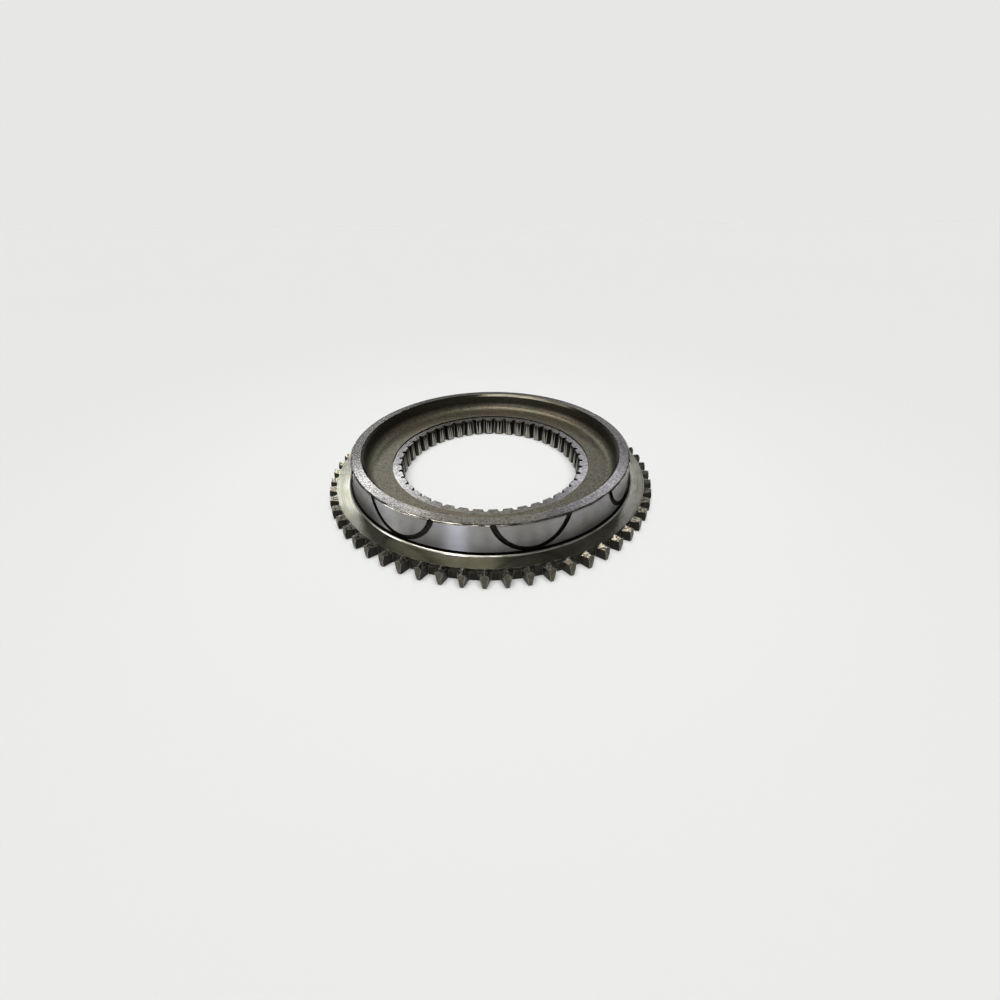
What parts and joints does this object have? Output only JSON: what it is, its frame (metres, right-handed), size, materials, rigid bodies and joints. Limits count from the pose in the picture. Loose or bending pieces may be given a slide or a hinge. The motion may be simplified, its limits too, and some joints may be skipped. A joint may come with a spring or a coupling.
{
  "type": "synchronizer cone",
  "caption": "Steel synchronizer cone with a ring of pointed dog teeth, a ground outer cone with arc-shaped oil grooves, and a splined bore.",
  "frame": {"origin": "centre of the flat back face, on the axis of the bore", "axes": "+Z along the axis, from the back face towards the rim of the cone"},
  "size_m": [0.15, 0.15, 0.0178],
  "materials": {
    "hardened_steel": "dark phosphated forging with ground and turned bright faces"
  },
  "bodies": {
    "root": {"synchronizer_cone": "hardened_steel"}
  },
  "joints": []
}
